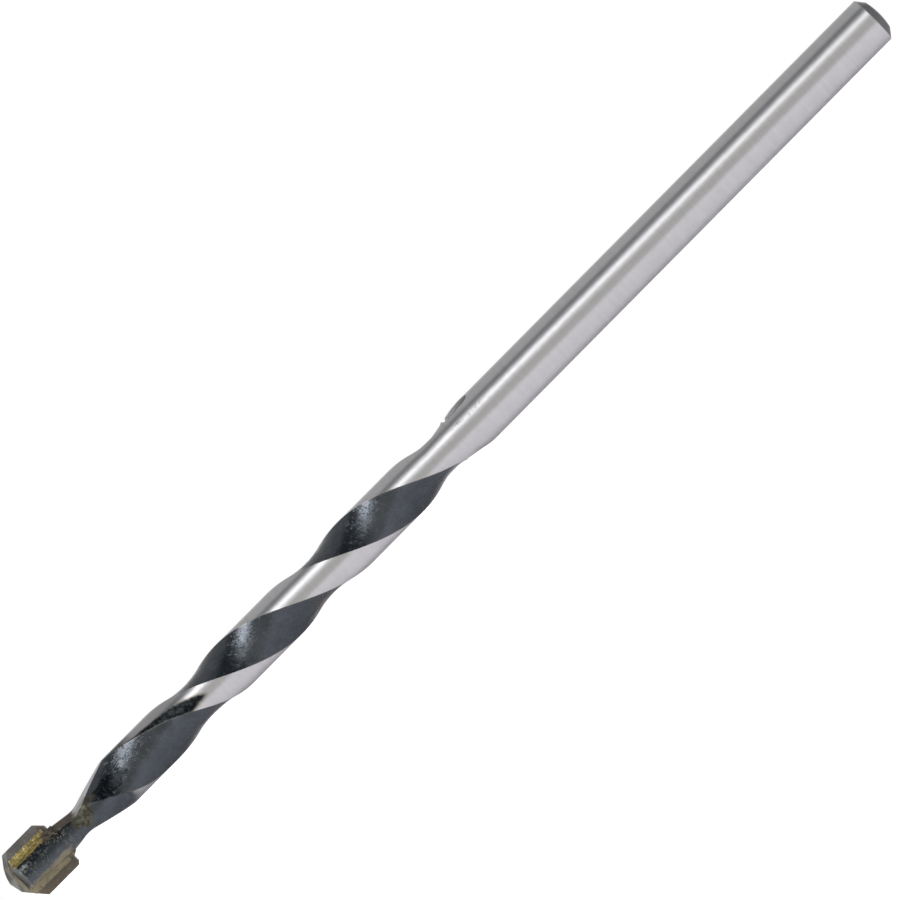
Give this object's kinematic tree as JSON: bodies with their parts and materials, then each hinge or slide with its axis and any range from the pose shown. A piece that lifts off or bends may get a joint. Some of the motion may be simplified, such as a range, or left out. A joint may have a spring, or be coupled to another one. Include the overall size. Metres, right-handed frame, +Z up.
{
  "type": "masonry drill bit",
  "caption": "Straight-shank masonry drill bit with shallow helical flutes and a carbide plate brazed across its slotted head, for drilling holes in brick and stone.",
  "frame": {"origin": "middle of the drill's length and thickness, on the surface that it lies on", "axes": "+X along the drill's axis from the point to the end of the shank, +Y across the carbide plate's thickness, +Z up, along the plate's width"},
  "size_m": [0.06, 0.0026, 0.003],
  "materials": {
    "steel": "ground bright on the shank and the lands, black heat-treatment scale in the flutes",
    "carbide": "dull grey sintered carbide, ground at the point",
    "braze": "grainy, as solidified"
  },
  "bodies": {
    "root": {"steel_body": "steel", "carbide_tip": "carbide", "braze": "braze"}
  },
  "joints": []
}
